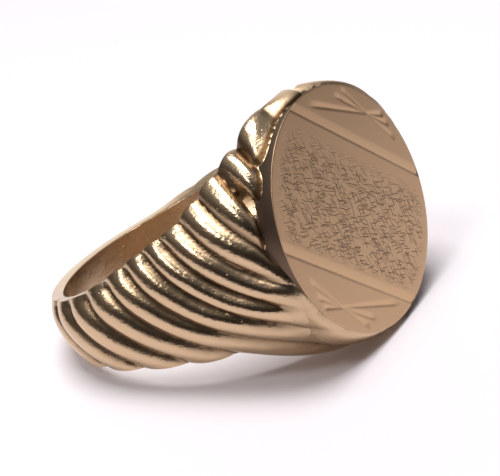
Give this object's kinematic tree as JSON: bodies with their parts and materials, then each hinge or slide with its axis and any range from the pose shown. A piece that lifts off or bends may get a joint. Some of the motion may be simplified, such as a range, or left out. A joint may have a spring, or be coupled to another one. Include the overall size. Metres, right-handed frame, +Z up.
{
  "type": "signet ring",
  "caption": "Gold signet ring with an oval engraved table on swirl-fluted shoulders, lying on its side.",
  "frame": {"origin": "middle of the finger bore, on the bore's axis", "axes": "+Z up, with the ring lying on its side on a level surface; +X level, from the band's back towards the table; +Y level, towards the right shoulder. The bore's axis leans 15.75 degrees from +Z, away from the table."},
  "size_m": [0.0244, 0.0224, 0.0152],
  "materials": {
    "worked_gold": "satin, with a hatched field",
    "polished_gold": "polished, lightly worn",
    "hard_solder": "polished"
  },
  "bodies": {
    "root": {"signet_table": "worked_gold", "left_shoulder": "polished_gold", "right_shoulder": "polished_gold", "shank_base": "polished_gold", "table_solder": "hard_solder", "head_solder": "hard_solder", "left_shank_solder": "hard_solder", "right_shank_solder": "hard_solder"}
  },
  "joints": []
}
